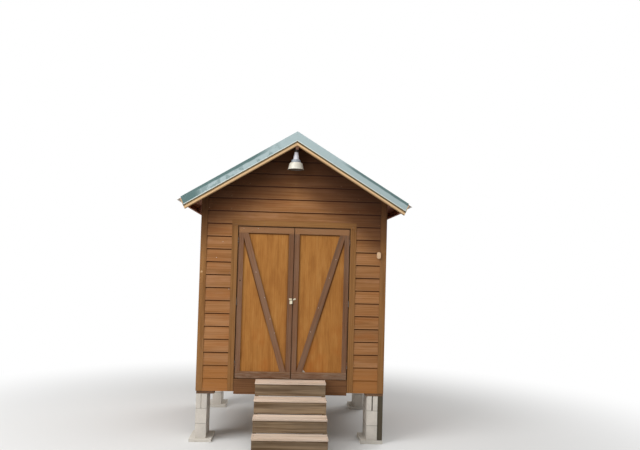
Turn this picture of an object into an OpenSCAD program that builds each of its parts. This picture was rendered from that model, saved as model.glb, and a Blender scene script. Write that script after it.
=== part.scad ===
// Small gabled timber shed on block piers, with double plank doors and open wooden steps.
// Front faces -Y, +X is to the right seen from the front, and Z = 0 is the ground.

/* [Shed] */
// Width over the wall framing
body_w = 2438; // [2000:10:3000]
// Depth over the wall framing
body_d = 2438; // [2000:10:3200]
// Height of the wall over the doorway
over_door_h = 402; // [300:1:500]
// Thickness of framing lumber
lumber_t = 38; // [30:1:45]
// Width of the studs and wall plates
stud_w = 89; // [70:1:120]
// Greatest spacing of the side and back wall studs
stud_pitch = 610; // [400:10:800]
// Clearance left where two boards butt
butt_gap = 0.3; // [0.1:0.1:0.5]

/* [Foundation] */
// Width of a concrete block
block_w = 143; // [120:1:200]
// Length of a concrete block
block_l = 397; // [300:1:400]
// Height of one course of blocks
block_h = 194; // [150:1:200]
// Wall round the block's two cores
block_wall = 32; // [25:1:40]
// Width of the groove in the end of a top block
groove_w = 16; // [10:1:24]
// Depth of the groove in the end of a top block
groove_depth = 8; // [4:1:12]
// Width of a footing pad
pad_w = 295; // [240:5:400]
// Length of a footing pad
pad_l = 430; // [400:5:500]
// Thickness of a footing pad
pad_t = 45; // [30:1:60]
// Width of the timber pad on each pier
shim_w = 235; // [180:5:300]
// Width of the post beside the front right pier
post_w = 70; // [60:1:75]

/* [Floor] */
// Depth of the floor joists
joist_h = 140; // [120:1:200]
// Thickness of the floor boards
deck_t = 25; // [18:1:38]
// Number of joists, rims included
joist_count = 7; // [4:1:9]
// Height of the board under the doors
sill_board_h = 200; // [150:1:220]
// Thickness of the board under the doors
sill_board_t = 16; // [12:1:19]

/* [Siding and trim] */
// Height of siding that shows at each lap
lap_exposure = 170; // [120:1:200]
// Thickness of a siding board at its lower edge
lap_butt = 16; // [12:1:18]
// Thickness of a siding board at the next lap
lap_top = 7; // [5:1:9]
// Thickness of the corner boards and door casings
trim_t = 19; // [16:1:30]
// Width of the corner boards
corner_w = 84; // [60:1:110]
// Width of the side casings
casing_w = 82; // [60:1:100]
// Height of the head casing
head_casing_h = 76; // [60:1:100]

/* [Doors] */
// Clear width between the casings
doorway_w = 1492; // [1200:2:1600]
// Height from the floor to the head casing
doorway_h = 2014; // [1800:2:2060]
// Gap between a leaf and the side casing
jamb_gap = 8; // [6:0.5:10]
// Gap between the two leaves
meeting_gap = 6; // [5:0.5:10]
// Gap over and under the leaves
leaf_end_gap = 8; // [6:0.5:12]
// Width of the upright boards of a leaf
stile_w = 67; // [60:1:100]
// Width of the bottom rails of the doors
rail_w = 89; // [60:1:120]
// Width of the top rails of the doors
top_rail_w = 81; // [60:1:120]
// Width of the diagonal brace
brace_w = 75; // [50:1:90]
// Drop of the brace's outer edge below the top rail, where it meets the outer stile
brace_drop = 58; // [0:1:120]
// Thickness of the frame boards of a leaf
leaf_board_t = 19; // [16:1:25]
// Thickness of the plywood panel of a leaf
panel_t = 12; // [9:1:16]
// Height of a butt hinge
hinge_h = 89; // [70:1:120]
// Radius of a hinge knuckle
knuckle_r = 5; // [4:0.5:6]
// Radius of a hinge pin
hinge_pin_r = 2.5; // [2:0.5:3]
// Running clearance of a hinge pin
hinge_fit = 0.1; // [0.05:0.05:0.2]
// Thickness of a hinge plate
hinge_plate_t = 2; // [1.5:0.5:2.5]
// Height of the hasp above the floor
hasp_z = 1059; // [900:1:1200]
// Height of the hasp strap and of the staple's plate
hasp_h = 20; // [16:1:40]
// Tilt of the hasp strap in degrees
hasp_tilt = 25; // [0:1:30]
// Width of the padlock body
padlock_w = 36; // [32:1:50]
// Height of the padlock body
padlock_h = 44; // [30:1:50]
// Thickness of the padlock body
padlock_t = 10; // [8:1:11]
// Radius of the padlock shackle bar
shackle_r = 3.5; // [3:0.5:4]

/* [Roof] */
// Slope of the roof in degrees
roof_pitch = 31.3; // [26:0.1:36]
// Depth of the common rafters, square to the slope
rafter_h = 89; // [80:1:100]
// Depth of the gable rake boards, square to the slope
rake_board_h = 135; // [120:1:160]
// Level set-back of the lower corner of a rake board's tail
rake_tail_back = 58; // [30:1:75]
// Level seat of a rafter on its plate
rafter_seat = 60; // [40:1:75]
// Level reach of the roof sheathing past the wall framing
eave_reach = 266; // [200:1:330]
// Reach of the gable rafters past the end walls
rake_reach = 250; // [200:5:350]
// Depth of the ridge board
ridge_board_h = 184; // [140:1:200]
// Thickness of the roof sheathing
sheathing_t = 12; // [9:1:18]
// Modelled thickness of the roofing metal
metal_t = 2; // [1.5:0.5:3]
// Height of the roofing ribs
rib_h = 10; // [8:1:25]
// Spacing of the roofing ribs
rib_pitch = 229; // [180:1:300]
// Width of a rib at its foot
rib_foot = 60; // [45:1:75]
// Width of a rib at its crest
rib_crest = 26; // [18:1:35]
// Reach of the roofing past the rafter tails, along the slope
sheet_drip = 43; // [30:1:90]
// Height of the rake trim, square to the slope
rake_trim_h = 108; // [80:1:130]
// Set-back of the upper corner of the rake trim's end
rake_trim_cut = 18; // [0:1:40]
// Width of the rake trim's leg on the roof
rake_trim_top = 60; // [40:1:80]
// Length of each leg of the ridge cap along the slope
ridge_cap_leg = 150; // [100:5:200]

/* [Lamp] */
// Sideways place of the lamp
lamp_x = -9; // [-40:1:40]
// Distance of the lamp's axis in front of the framing
lamp_reach = 150; // [140:1:200]
// Diameter of the shade's rim
shade_d = 216; // [180:1:230]
// Diameter of the shade's collar
collar_d = 124; // [110:1:150]
// Height of the shade's flared bell
bell_h = 96; // [70:1:120]
// Height of the bell's rounded shoulder
shoulder_h = 30; // [20:1:60]
// Spread of the bell's skirt below the shoulder
skirt_flare = 18; // [0:1:20]
// Height of the shade's collar
collar_h = 37; // [24:1:44]
// Height of the lamp's socket neck
neck_h = 96; // [80:1:120]
// Height of the round block that the lamp hangs from
canopy_h = 34; // [6:1:50]
// Wall of the shade
shade_t = 3; // [2:0.5:4]
// Radius of the bulb
bulb_r = 40; // [30:1:48]

/* [Steps] */
// Width of the treads
tread_w = 912; // [800:1:1000]
// Thickness of the treads
tread_t = 25; // [20:1:38]
// Depth of a whole tread, front to back
tread_d = 235; // [220:1:300]
// Level distance from one tread's front edge to the next
step_run = 224; // [200:1:230]
// Height from one tread to the next
step_rise = 178; // [160:1:185]
// Number of treads
tread_count = 5; // [4:1:5]
// Gap between a tread's two boards
tread_split = 5; // [3:1:8]
// Height of a riser board
riser_h = 140; // [120:1:145]
// Depth of a stringer under the notches, square to its slope
stringer_throat = 130; // [100:1:160]

/* [Wall fitting] */
// Width of the small oval box on the front wall
fitting_w = 50; // [40:1:80]
// Height of the small box on the front wall
fitting_h = 88; // [70:1:110]
// Depth of the small box on the front wall
fitting_t = 30; // [20:1:45]
// Drop of the small box's middle below the door head
fitting_drop = 344; // [200:1:400]

/* [Hidden] */
$fn = 48;
// Small overlap that lets a cut run clean through a face
cut = 1;

// Heights from the ground
course_count = 3;
shim_t = lumber_t;
pier_top = pad_t + course_count * block_h;
wall_bottom = pier_top + shim_t;
joist_top = wall_bottom + joist_h;
floor_z = joist_top + deck_t;
head_z = floor_z + doorway_h;
plate_top = head_z + over_door_h;
siding_front_top = wall_bottom + lap_exposure * floor((head_z - wall_bottom) / lap_exposure + 1);

// Widths and the doorway
half_w = body_w / 2;
outer_half = half_w + trim_t;
half_door = doorway_w / 2;
leaf_w = half_door - jamb_gap - meeting_gap / 2;
leaf_z0 = floor_z + leaf_end_gap;
leaf_z1 = head_z - leaf_end_gap;
leaf_h = leaf_z1 - leaf_z0;
hinge_x = half_door - jamb_gap / 2;
hinge_y = -trim_t - knuckle_r;

// Roof lines, as heights at a distance x from the centre line
slope = tan(roof_pitch);
plumb = 1 / cos(roof_pitch);
eave_x = half_w + eave_reach;
function rafter_bottom(x) = plate_top + (half_w - rafter_seat - x) * slope;
function deck_bottom(x) = rafter_bottom(x) + rafter_h * plumb;
deck_z = deck_bottom(0) + butt_gap;
rake_front = -rake_reach;
rake_back = body_d + rake_reach;
tail_slant = eave_x * plumb;

// Steps
steps_back = -sill_board_t;
steps_front = steps_back - tread_d - (tread_count - 1) * step_run;
tread_board = (tread_d - tread_split) / 2;
nosing = tread_d - step_run;

// The model stands with the middle of its ground plan at the origin
metal_edge = metal_t + butt_gap;
plan_front = min(steps_front, rake_front - metal_edge);
plan_back = rake_back + metal_edge;
plan_shift = -(plan_front + plan_back) / 2;

// Places a piece measured from the front of the framing
module placed() {
    translate([0, plan_shift, 0]) children();
}

// One plain board from its low corner
module board(low, size) {
    translate(low) cube(size);
}

// The same piece on the right and, mirrored, on the left
module both_sides() {
    children();
    mirror([1, 0, 0]) children();
}

// The same piece at the front and, mirrored, at the back wall
module both_ends() {
    children();
    translate([0, body_d, 0]) mirror([0, 1, 0]) children();
}

// A flat outline in X and Z, given its thickness back from y
module upright(y, depth) {
    translate([0, y + depth, 0]) rotate([90, 0, 0]) linear_extrude(height = depth) children();
}

// A flat outline in Y and Z, given its thickness from x
module sideways(x, width) {
    translate([x, 0, 0]) rotate([90, 0, 90]) linear_extrude(height = width) children();
}

// Foundation
pier_inset = 8;

// The right front pier stands further in, to leave room for the post beside it
function pier_outer(right, front) = outer_half - (right && front ? post_w + butt_gap : pier_inset);
function shim_outer(right, front) = outer_half - (right && front ? 0 : pier_inset);

module at_pier(right, front, outer, width) {
    x = outer - width / 2;
    y = front ? block_l / 2 : body_d - block_l / 2;
    translate([right ? x : -x, y, 0]) rotate([0, 0, front ? 0 : 180]) children();
}

// One block with its two cores; a top block also has a groove down its outer end
module block(z, grooved) {
    core_w = block_w - 2 * block_wall;
    core_l = (block_l - 3 * block_wall) / 2;
    difference() {
        board([-block_w / 2, -block_l / 2, z], [block_w, block_l, block_h]);
        for (side = [-1, 1]) {
            y = side * (core_l + block_wall) / 2 - core_l / 2;
            board([-core_w / 2, y, z - cut], [core_w, core_l, block_h + 2 * cut]);
        }
        if (grooved) {
            board([-groove_w / 2, -block_l / 2 - cut, z - cut],
                [groove_w, groove_depth + cut, block_h + 2 * cut]);
        }
    }
}

module course(number) {
    placed() for (right = [true, false], front = [true, false]) {
        at_pier(right, front, pier_outer(right, front), block_w) {
            block(pad_t + number * block_h, number == course_count - 1);
        }
    }
}

module bottom_and_top_blocks() {
    color("gainsboro") {
        course(0);
        course(course_count - 1);
    }
}

module middle_blocks() {
    color("gainsboro") course(1);
}

module footing_pads() {
    color("silver") placed() for (right = [true, false], front = [true, false]) {
        outer = pier_outer(right, front) + (pad_w - block_w) / 2;
        at_pier(right, front, outer, pad_w) {
            board([-pad_w / 2, -pad_l / 2, 0], [pad_w, pad_l, pad_t]);
        }
    }
}

module pier_shims() {
    color("saddlebrown") placed() for (right = [true, false], front = [true, false]) {
        at_pier(right, front, shim_outer(right, front), shim_w) {
            board([-shim_w / 2, -block_l / 2, pier_top], [shim_w, block_l, shim_t]);
        }
    }
}

// Upright post in front of the right front pier's outer side
module corner_post() {
    color("darkolivegreen") placed() {
        board([outer_half - post_w, 0, pad_t], [post_w, stud_w, pier_top - pad_t]);
    }
}

// Floor
module floor_frame() {
    inner_d = body_d - 2 * (lumber_t + butt_gap);
    pitch = (body_w - lumber_t) / (joist_count - 1);
    color("burlywood") placed() {
        both_ends() board([-half_w, 0, wall_bottom], [body_w, lumber_t, joist_h]);
        for (i = [0 : joist_count - 1]) {
            board([-half_w + i * pitch, lumber_t + butt_gap, wall_bottom], [lumber_t, inner_d, joist_h]);
        }
    }
}

module floor_deck() {
    color("tan") placed() board([-half_w, 0, joist_top], [body_w, body_d, deck_t]);
}

module sill_board() {
    x = half_door - butt_gap;
    color("sienna") placed() {
        board([-x, -sill_board_t, floor_z - sill_board_h], [2 * x, sill_board_t, sill_board_h]);
    }
}

// Wall frame
sole_top = floor_z + lumber_t;
top_plate_z = plate_top - lumber_t;
header_top = head_z + joist_h;

module wall_plates() {
    side_l = body_d - 2 * (stud_w + butt_gap);
    color("wheat") placed() {
        both_sides() {
            board([half_door, 0, floor_z], [half_w - half_door, stud_w, lumber_t]);
            for (z = [floor_z, top_plate_z]) {
                board([half_w - stud_w, stud_w + butt_gap, z], [stud_w, side_l, lumber_t]);
            }
        }
        board([-half_w, body_d - stud_w, floor_z], [body_w, stud_w, lumber_t]);
        both_ends() board([-half_w, 0, top_plate_z], [body_w, stud_w, lumber_t]);
    }
}

// Outline under the rafters, for what is cut to their slope
module under_rafters(clear) {
    polygon([[-half_w, plate_top], [half_w, plate_top], [half_w - rafter_seat, plate_top],
        [0, rafter_bottom(0) - clear * plumb], [-half_w + rafter_seat, plate_top]]);
}

module gable_stud(x) {
    upright(0, stud_w) intersection() {
        translate([x - lumber_t / 2, plate_top]) square([lumber_t, rafter_bottom(0) - plate_top]);
        under_rafters(butt_gap);
    }
}

module wall_studs() {
    stud_h = top_plate_z - sole_top;
    side_bays = ceil((body_d - 2 * stud_w) / stud_pitch);
    side_step = (body_d - 2 * (stud_w + butt_gap) - lumber_t) / side_bays;
    back_bays = ceil(body_w / stud_pitch);
    back_step = (body_w - lumber_t) / back_bays;
    gable_step = half_w / 2;
    color("wheat") placed() {
        both_sides() {
            // Trimmer, full stud and corner stud beside the doorway
            board([half_door, 0, sole_top], [lumber_t, stud_w, head_z - sole_top]);
            board([half_door + lumber_t + butt_gap, 0, sole_top], [lumber_t, stud_w, stud_h]);
            board([half_w - lumber_t, 0, sole_top], [lumber_t, stud_w, stud_h]);
            for (i = [0 : side_bays]) {
                y = stud_w + butt_gap + i * side_step;
                board([half_w - stud_w, y, sole_top], [stud_w, lumber_t, stud_h]);
            }
            both_ends() gable_stud(gable_step);
        }
        for (i = [0 : back_bays]) {
            board([-half_w + i * back_step, body_d - stud_w, sole_top], [lumber_t, stud_w, stud_h]);
        }
        // Short studs over the doorway
        for (x = [-gable_step, 0, gable_step]) {
            board([x - lumber_t / 2, 0, header_top], [lumber_t, stud_w, top_plate_z - header_top]);
        }
    }
}

module door_header() {
    x = half_door + lumber_t;
    color("wheat") placed() board([-x, 0, head_z], [2 * x, stud_w, joist_h]);
}

// Siding: a lap profile that steps out at the foot of every course
function lap_points(z0, z1) = [
    for (z = [z0 : lap_exposure : z1 - cut]) each [
        [-lap_butt, z],
        [-lap_top, min(z + lap_exposure, z1)]
    ]
];

module lap_outline(z0, z1) {
    polygon(concat(lap_points(z0, z1), [[0, z1], [0, z0]]));
}

// Courses across a wall in the XZ plane, with their backs on y = 0
module lap_wall(x0, x1, z0, z1) {
    sideways(x0, x1 - x0) lap_outline(z0, z1);
}

roof_clear = 2;

// Outline of an end wall up to the underside of the roof sheathing, cut out round the ridge board
module gable_outline(z0) {
    x = half_w;
    slot = lumber_t / 2 + butt_gap;
    slot_z = deck_bottom(lumber_t / 2) - ridge_board_h - butt_gap;
    difference() {
        polygon([[-x, z0], [x, z0], [x, deck_bottom(x) - roof_clear], [0, deck_bottom(0) - roof_clear],
            [-x, deck_bottom(x) - roof_clear]]);
        translate([-slot, slot_z]) square([2 * slot, 2 * ridge_board_h]);
    }
}

siding_half = half_w + trim_t - corner_w - butt_gap;
siding_inner = half_door + casing_w + butt_gap;

module front_siding() {
    color("peru") placed() both_sides() {
        lap_wall(siding_inner, siding_half, wall_bottom, siding_front_top);
    }
}

// Whole gable face from a given course up, between the corner boards and up to the roof
module gable_face(z0) {
    intersection() {
        lap_wall(-siding_half, siding_half, z0, deck_bottom(0));
        upright(-lap_butt - cut, lap_butt + cut) gable_outline(z0);
    }
}

module gable_siding() {
    x = siding_inner;
    top = head_z + head_casing_h + butt_gap;
    color("peru") placed() difference() {
        gable_face(siding_front_top);
        board([-x, -lap_butt - cut, head_z], [2 * x, lap_butt + 2 * cut, top - head_z]);
    }
}

module back_siding() {
    color("peru") placed() translate([0, body_d, 0]) mirror([0, 1, 0]) gable_face(wall_bottom);
}

module side_siding() {
    run = body_d + 2 * (trim_t - corner_w - butt_gap);
    top = rafter_bottom(half_w + lap_butt) - roof_clear;
    color("peru") placed() both_sides() {
        translate([half_w, body_d / 2, 0]) rotate([0, 0, 90]) {
            lap_wall(-run / 2, run / 2, wall_bottom, top);
        }
    }
}

// Corner boards: one on the end wall, up to the roof, and one on the side wall, up to the rafters
module corner_boards() {
    inner = outer_half - corner_w;
    side_top = rafter_bottom(outer_half) - roof_clear;
    color("peru") placed() both_sides() both_ends() {
        upright(-trim_t, trim_t) polygon([[inner, wall_bottom], [outer_half, wall_bottom],
            [outer_half, deck_bottom(outer_half) - roof_clear], [inner, deck_bottom(inner) - roof_clear]]);
        board([half_w, -trim_t, wall_bottom], [trim_t, corner_w, side_top - wall_bottom]);
    }
}

module door_casings() {
    color("sienna") placed() {
        both_sides() board([half_door, -trim_t, wall_bottom], [casing_w, trim_t, head_z - wall_bottom]);
        board([-half_door - casing_w, -trim_t, head_z + butt_gap],
            [doorway_w + 2 * casing_w, trim_t, head_casing_h]);
    }
}

// Doors, drawn for the right leaf with its hinge edge outwards
leaf_x0 = meeting_gap / 2;
leaf_x1 = leaf_x0 + leaf_w;
hinge_count = 3;
knuckle_clear = 1;
hinge_margin = 180;

module leaf_panel() {
    board([leaf_x0, -trim_t + leaf_board_t, leaf_z0], [leaf_w, panel_t, leaf_h]);
}

module leaf_stiles() {
    h = leaf_h - rail_w - top_rail_w - 2 * butt_gap;
    for (x = [leaf_x0, leaf_x1 - stile_w]) {
        board([x, -trim_t, leaf_z0 + rail_w + butt_gap], [stile_w, leaf_board_t, h]);
    }
}

module leaf_rails() {
    board([leaf_x0, -trim_t, leaf_z0], [leaf_w, leaf_board_t, rail_w]);
    board([leaf_x0, -trim_t, leaf_z1 - top_rail_w], [leaf_w, leaf_board_t, top_rail_w]);
}

// Leans from the inner bottom corner of the opening up to the outer stile, just under the top rail
module leaf_brace() {
    x0 = leaf_x0 + stile_w + butt_gap;
    x1 = leaf_x1 - stile_w - butt_gap;
    z0 = leaf_z0 + rail_w + butt_gap;
    z1 = leaf_z1 - top_rail_w - butt_gap;
    run = x1 - x0;
    rise = z1 - brace_drop - z0;
    lean = atan2(run, rise) - asin(brace_w / norm([run, rise]));
    reach = 2 * rise;
    upright(-trim_t, leaf_board_t) intersection() {
        translate([x0, z0]) square([run, z1 - z0]);
        translate([x0, z0]) rotate(-lean) translate([0, -reach]) square([brace_w, 2 * reach]);
    }
}

function hinge_z(i) = leaf_z0 + hinge_margin + i * (leaf_h - 2 * hinge_margin) / (hinge_count - 1);

knuckle_h = hinge_h / 3;

module knuckle(z, h) {
    translate([hinge_x, hinge_y, z]) cylinder(h = h, r = knuckle_r);
}

// Plate let into the gap between leaf and casing, from the knuckle back
module hinge_plate(x, z) {
    board([x, hinge_y, z - hinge_h / 2], [hinge_plate_t, knuckle_r + trim_t, hinge_h]);
}

// The half that turns: its plate on the leaf's edge, the middle knuckle and the pin
module moving_hinge(z) {
    difference() {
        hinge_plate(leaf_x1, z);
        for (end = [-1, 1]) {
            knuckle_z = z + end * knuckle_h - knuckle_h / 2 - hinge_fit;
            translate([hinge_x, hinge_y, knuckle_z]) {
                cylinder(h = knuckle_h + 2 * hinge_fit, r = knuckle_r + knuckle_clear);
            }
        }
    }
    knuckle(z - knuckle_h / 2 + hinge_fit, knuckle_h - 2 * hinge_fit);
    translate([hinge_x, hinge_y, z - hinge_h / 2]) cylinder(h = hinge_h, r = hinge_pin_r);
}

// The half that stays: its plate on the casing's edge and the two end knuckles
module fixed_hinge(z) {
    difference() {
        union() {
            hinge_plate(half_door - hinge_plate_t, z);
            for (end = [-1, 1]) knuckle(z + end * knuckle_h - knuckle_h / 2, knuckle_h);
        }
        translate([hinge_x, hinge_y, z - hinge_h / 2 - cut]) {
            cylinder(h = hinge_h + 2 * cut, r = hinge_pin_r + hinge_fit);
        }
        translate([hinge_x, hinge_y, z - knuckle_h / 2]) {
            cylinder(h = knuckle_h, r = knuckle_r + knuckle_clear);
        }
    }
}

module right_leaf() {
    placed() children();
}

module left_leaf() {
    placed() mirror([1, 0, 0]) children();
}

module leaf_hinges() {
    for (i = [0 : hinge_count - 1]) moving_hinge(hinge_z(i));
}

module frame_hinges() {
    color("dimgray") placed() both_sides() for (i = [0 : hinge_count - 1]) fixed_hinge(hinge_z(i));
}

// Hasp on the right leaf, its staple and padlock on the left leaf
hasp_mid = floor_z + hasp_z;
hasp_t = 3;
hasp_l = 34;
lock_edge = 1;
staple_x = -leaf_x0 - lock_edge - padlock_w / 2;
plate_w = 38;
plate_shift = 8;
staple_bar_r = 3;
staple_ring_r = 9;
staple_y = -trim_t - hasp_t - staple_ring_r + staple_bar_r;
shackle_half = 12;
shackle_leg = 6;
shackle_top = hasp_mid - staple_ring_r + staple_bar_r + shackle_r + butt_gap;

module door_hasp() {
    half_span = (hasp_l * cos(hasp_tilt) + hasp_h * sin(hasp_tilt)) / 2;
    color("darkgoldenrod") placed() upright(-trim_t - hasp_t, hasp_t) {
        translate([leaf_x0 + butt_gap + half_span, hasp_mid]) rotate(hasp_tilt) {
            square([hasp_l, hasp_h], center = true);
        }
    }
}

// A backing plate with a round eye standing out of it
module hasp_staple() {
    plate_x = staple_x - plate_shift - plate_w / 2;
    color("darkgoldenrod") placed() difference() {
        union() {
            board([plate_x, -trim_t - hasp_t, hasp_mid - hasp_h / 2], [plate_w, hasp_t, hasp_h]);
            translate([staple_x, staple_y, hasp_mid]) rotate([0, 90, 0]) rotate_extrude() {
                translate([staple_ring_r, 0]) circle(r = staple_bar_r);
            }
        }
        board([plate_x - cut, -trim_t, hasp_mid - hasp_h], [plate_w + 2 * cut, trim_t, 2 * hasp_h]);
    }
}

// Padlock hanging by its shackle from the staple
module padlock() {
    body_top = shackle_top - shackle_half - shackle_leg;
    round = 6;
    color("gold") placed() translate([staple_x, staple_y, 0]) {
        intersection() {
            translate([0, 0, shackle_top - shackle_half]) rotate([90, 0, 0]) rotate_extrude() {
                translate([shackle_half, 0]) circle(r = shackle_r);
            }
            board([-padlock_w, -padlock_t, shackle_top - shackle_half],
                [2 * padlock_w, 2 * padlock_t, padlock_h]);
        }
        for (side = [-1, 1]) {
            translate([side * shackle_half, 0, body_top - cut]) {
                cylinder(h = shackle_leg + cut, r = shackle_r);
            }
        }
        upright(-padlock_t / 2, padlock_t) offset(r = round) {
            translate([-padlock_w / 2 + round, body_top - padlock_h + round]) {
                square([padlock_w - 2 * round, padlock_h - 2 * round]);
            }
        }
    }
}

// Roof frame
function tail_run(depth) = depth * sin(roof_pitch);
function tail_rise(depth) = depth * cos(roof_pitch);
common_x = eave_x - (trim_t + butt_gap) * cos(roof_pitch);

// A sloping board of a given depth, from x0 near the ridge to its tail, which is cut back underneath
module slope_board(x0, x1, depth, back) {
    drop = depth * plumb;
    polygon([[x0, deck_bottom(x0) - drop], [x1 - back, deck_bottom(x1 - back) - drop],
        [x1, deck_bottom(x1)], [x0, deck_bottom(x0)]]);
}

module rafters() {
    x0 = lumber_t / 2 + butt_gap;
    color("burlywood") placed() both_sides() {
        for (y = [0, (body_d - lumber_t) / 2, body_d - lumber_t]) upright(y, lumber_t) difference() {
            slope_board(x0, common_x, rafter_h, tail_run(rafter_h));
            translate([0, plate_top - rafter_h]) square([half_w, rafter_h]);
        }
    }
}

// Boards across the rafter tails, between the rake boards
module eave_boards() {
    x = common_x + butt_gap * cos(roof_pitch);
    z = deck_bottom(x);
    run = tail_run(rafter_h);
    rise = tail_rise(rafter_h);
    y = rake_front + lumber_t + butt_gap;
    color("burlywood") placed() both_sides() upright(y, body_d - 2 * y) {
        polygon([[x, z], [eave_x, deck_bottom(eave_x)], [eave_x - run, deck_bottom(eave_x) - rise],
            [x - run, z - rise]]);
    }
}

module ridge_board() {
    top = deck_bottom(lumber_t / 2);
    y = rake_front + lumber_t + butt_gap;
    color("burlywood") placed() {
        board([-lumber_t / 2, y, top - ridge_board_h], [lumber_t, body_d - 2 * y, ridge_board_h]);
    }
}

// The outermost pair of rafters at each gable, carried by the sheathing and the ridge board
module rake_boards() {
    color("navajowhite") placed() both_sides() both_ends() {
        upright(rake_front, lumber_t) {
            slope_board(butt_gap / 2, eave_x, rake_board_h, rake_tail_back);
        }
    }
}

// Lays a flat outline of slant distance and height on the right roof slope, from the ridge down
module on_slope(y, depth) {
    translate([0, 0, deck_z]) upright(y, depth) rotate(-roof_pitch) children();
}

ridge_gap = 10;

module roof_deck() {
    start = ridge_gap * plumb;
    color("tan") placed() both_sides() {
        on_slope(rake_front, body_d + 2 * rake_reach) {
            polygon([[start, 0], [tail_slant, 0], [tail_slant, sheathing_t], [start, sheathing_t]]);
        }
    }
}

// Roofing profile across the slope, from the front gable to the back one
rib_count = floor((body_d + 2 * rake_reach - rib_foot) / rib_pitch) + 1;
rib_start = (body_d - (rib_count - 1) * rib_pitch) / 2;

function rib_points(lift) = [
    for (i = [0 : rib_count - 1]) let (y = rib_start + i * rib_pitch) each [
        [y - rib_foot / 2, lift],
        [y - rib_crest / 2, rib_h + lift],
        [y + rib_crest / 2, rib_h + lift],
        [y + rib_foot / 2, lift]
    ]
];

function reversed(list) = [for (i = [len(list) - 1 : -1 : 0]) list[i]];

module sheet_outline() {
    upper = concat([[rake_front, metal_t]], rib_points(metal_t), [[rake_back, metal_t]]);
    lower = concat([[rake_front, 0]], rib_points(0), [[rake_back, 0]]);
    polygon(concat(upper, reversed(lower)));
}

module roof_sheets() {
    start = 2 * ridge_gap * plumb;
    length = tail_slant + sheet_drip - start;
    color("seagreen") placed() both_sides() {
        translate([0, 0, deck_z]) rotate([0, roof_pitch, 0]) {
            translate([start, 0, sheathing_t]) sideways(0, length) sheet_outline();
        }
    }
}

crest = sheathing_t + rib_h + metal_t;

// Bent cap over the ridge, resting on the crests of the ribs
module ridge_cap() {
    inner = deck_z + (crest + butt_gap) * plumb;
    leg_x = ridge_cap_leg * cos(roof_pitch);
    outer = inner + metal_t * plumb;
    y = rake_front + rake_trim_top + butt_gap;
    color("seagreen") placed() upright(y, body_d - 2 * y) {
        polygon([[0, inner], [leg_x, inner - leg_x * slope], [leg_x, outer - leg_x * slope], [0, outer],
            [-leg_x, outer - leg_x * slope], [-leg_x, inner - leg_x * slope]]);
    }
}

// Folded trim over the gable edge: a leg on the roof and a face down over the rake board
module rake_trims() {
    top = crest + metal_edge;
    face_y = rake_front - metal_edge;
    top_end = tail_slant - rake_trim_cut;
    color("seagreen") placed() both_ends() both_sides() {
        intersection() {
            union() {
                on_slope(face_y, metal_t) {
                    polygon([[-rake_trim_h, top], [-rake_trim_h, top - rake_trim_h],
                        [tail_slant, top - rake_trim_h], [top_end, top]]);
                }
                on_slope(face_y, rake_trim_top + metal_edge) {
                    polygon([[-rake_trim_h, top], [-rake_trim_h, top - metal_t],
                        [top_end, top - metal_t], [top_end, top]]);
                }
            }
            board([butt_gap / 2, face_y - cut, 0], [2 * eave_x, rake_reach, 2 * plate_top]);
        }
    }
}

// Lamp under the ridge board
canopy_r = 30;
canopy_top = deck_bottom(lumber_t / 2) - ridge_board_h;
neck_top = canopy_top - canopy_h;
collar_top = neck_top - neck_h;
bell_top = collar_top - collar_h;
rim_z = bell_top - bell_h;
neck_r0 = 25;
neck_r1 = 40;
socket_r = 20;
bulb_drop = 15;

module at_lamp() {
    placed() translate([lamp_x, -lamp_reach, 0]) children();
}

// Round block, tapered neck and socket in one, with the bulb under them
module lamp_holder() {
    bulb_z = collar_top - bulb_r - bulb_drop;
    color("whitesmoke") at_lamp() {
        rotate_extrude() polygon([[0, canopy_top], [canopy_r, canopy_top], [canopy_r, neck_top],
            [neck_r0, neck_top], [neck_r1, collar_top], [socket_r, collar_top],
            [socket_r, bulb_z + bulb_r / 2], [0, bulb_z + bulb_r / 2]]);
        translate([0, 0, bulb_z]) sphere(r = bulb_r);
    }
}

// Hollow shade: flat top, straight collar, rounded shoulder and a skirt that spreads to the rim
module lamp_shade() {
    r0 = collar_d / 2;
    rim_r = shade_d / 2;
    flare = rim_r - skirt_flare - r0;
    steps = 8;
    turns = [for (i = [0 : steps]) 90 * i / steps];
    shoulder = [for (a = turns) [r0 + flare * sin(a), bell_top - shoulder_h * (1 - cos(a))]];
    inward = [for (a = turns) let (d = [shoulder_h * sin(a), flare * cos(a)]) d / norm(d)];
    outer = concat(shoulder, [[rim_r, rim_z]]);
    inner = concat([for (i = [0 : steps]) shoulder[i] - shade_t * inward[i]], [[rim_r - shade_t, rim_z]]);
    color("ivory") at_lamp() rotate_extrude() {
        polygon(concat([[socket_r + butt_gap, collar_top], [r0, collar_top]], outer, reversed(inner),
            [[r0 - shade_t, bell_top - shade_t], [r0 - shade_t, collar_top - shade_t],
            [socket_r + butt_gap, collar_top - shade_t]]));
    }
}

// Steps
function tread_top(i) = floor_z - i * step_rise;
function tread_front(i) = steps_back - tread_d - i * step_run;
riser_t = lumber_t;
stringer_x = tread_w / 2 - 4 - lumber_t;

module step_treads() {
    color("rosybrown") placed() for (i = [0 : tread_count - 1]) {
        for (back = [0, tread_board + tread_split]) {
            board([-tread_w / 2, tread_front(i) + back, tread_top(i) - tread_t],
                [tread_w, tread_board, tread_t]);
        }
    }
}

// Riser boards under the front edge of every tread; the lowest is cut to reach the ground
module step_risers() {
    half = tread_w / 2 - 4;
    color("gray") placed() for (i = [0 : tread_count - 1]) {
        under = tread_top(i) - tread_t;
        gap = (step_rise - tread_t - riser_h) / 2;
        bottom = i < tread_count - 1 ? under - gap - riser_h : 0;
        board([-half, tread_front(i) + nosing, bottom], [2 * half, riser_t, under - gap - bottom]);
    }
}

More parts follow.
